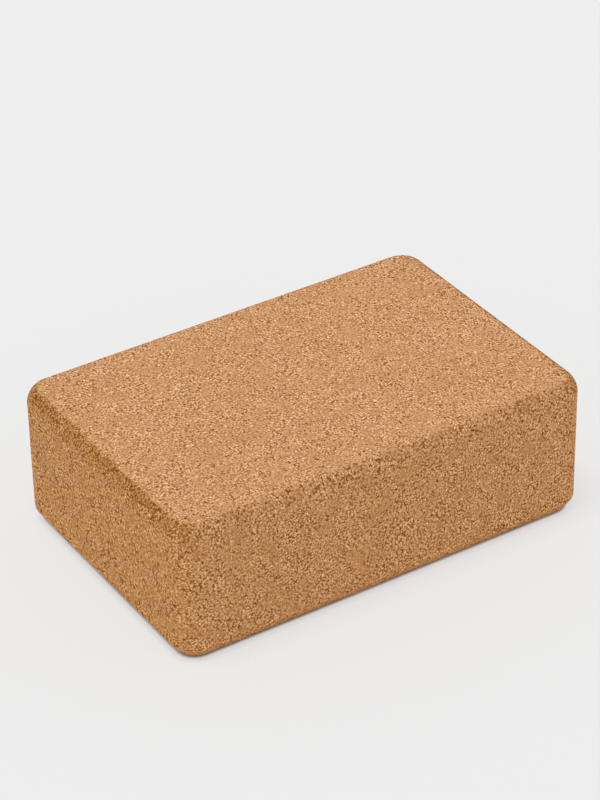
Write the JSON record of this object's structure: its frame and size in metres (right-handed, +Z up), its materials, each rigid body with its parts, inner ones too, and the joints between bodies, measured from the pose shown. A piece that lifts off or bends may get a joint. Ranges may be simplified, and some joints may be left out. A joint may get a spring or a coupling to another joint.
{
  "type": "yoga block",
  "caption": "Solid brick-shaped block of fine-grained pressed cork with round upright corners and bevelled rims, used flat, on its side or on end to bring the floor closer in exercise.",
  "frame": {"origin": "middle of the large face that the block lies on", "axes": "+X along the block's length, +Y along its width, +Z up through its height"},
  "size_m": [0.2286, 0.1524, 0.075],
  "materials": {
    "cork": "sanded pressed cork, matt, with fine light and dark granules"
  },
  "bodies": {
    "root": {"cork_block": "cork"}
  },
  "joints": []
}
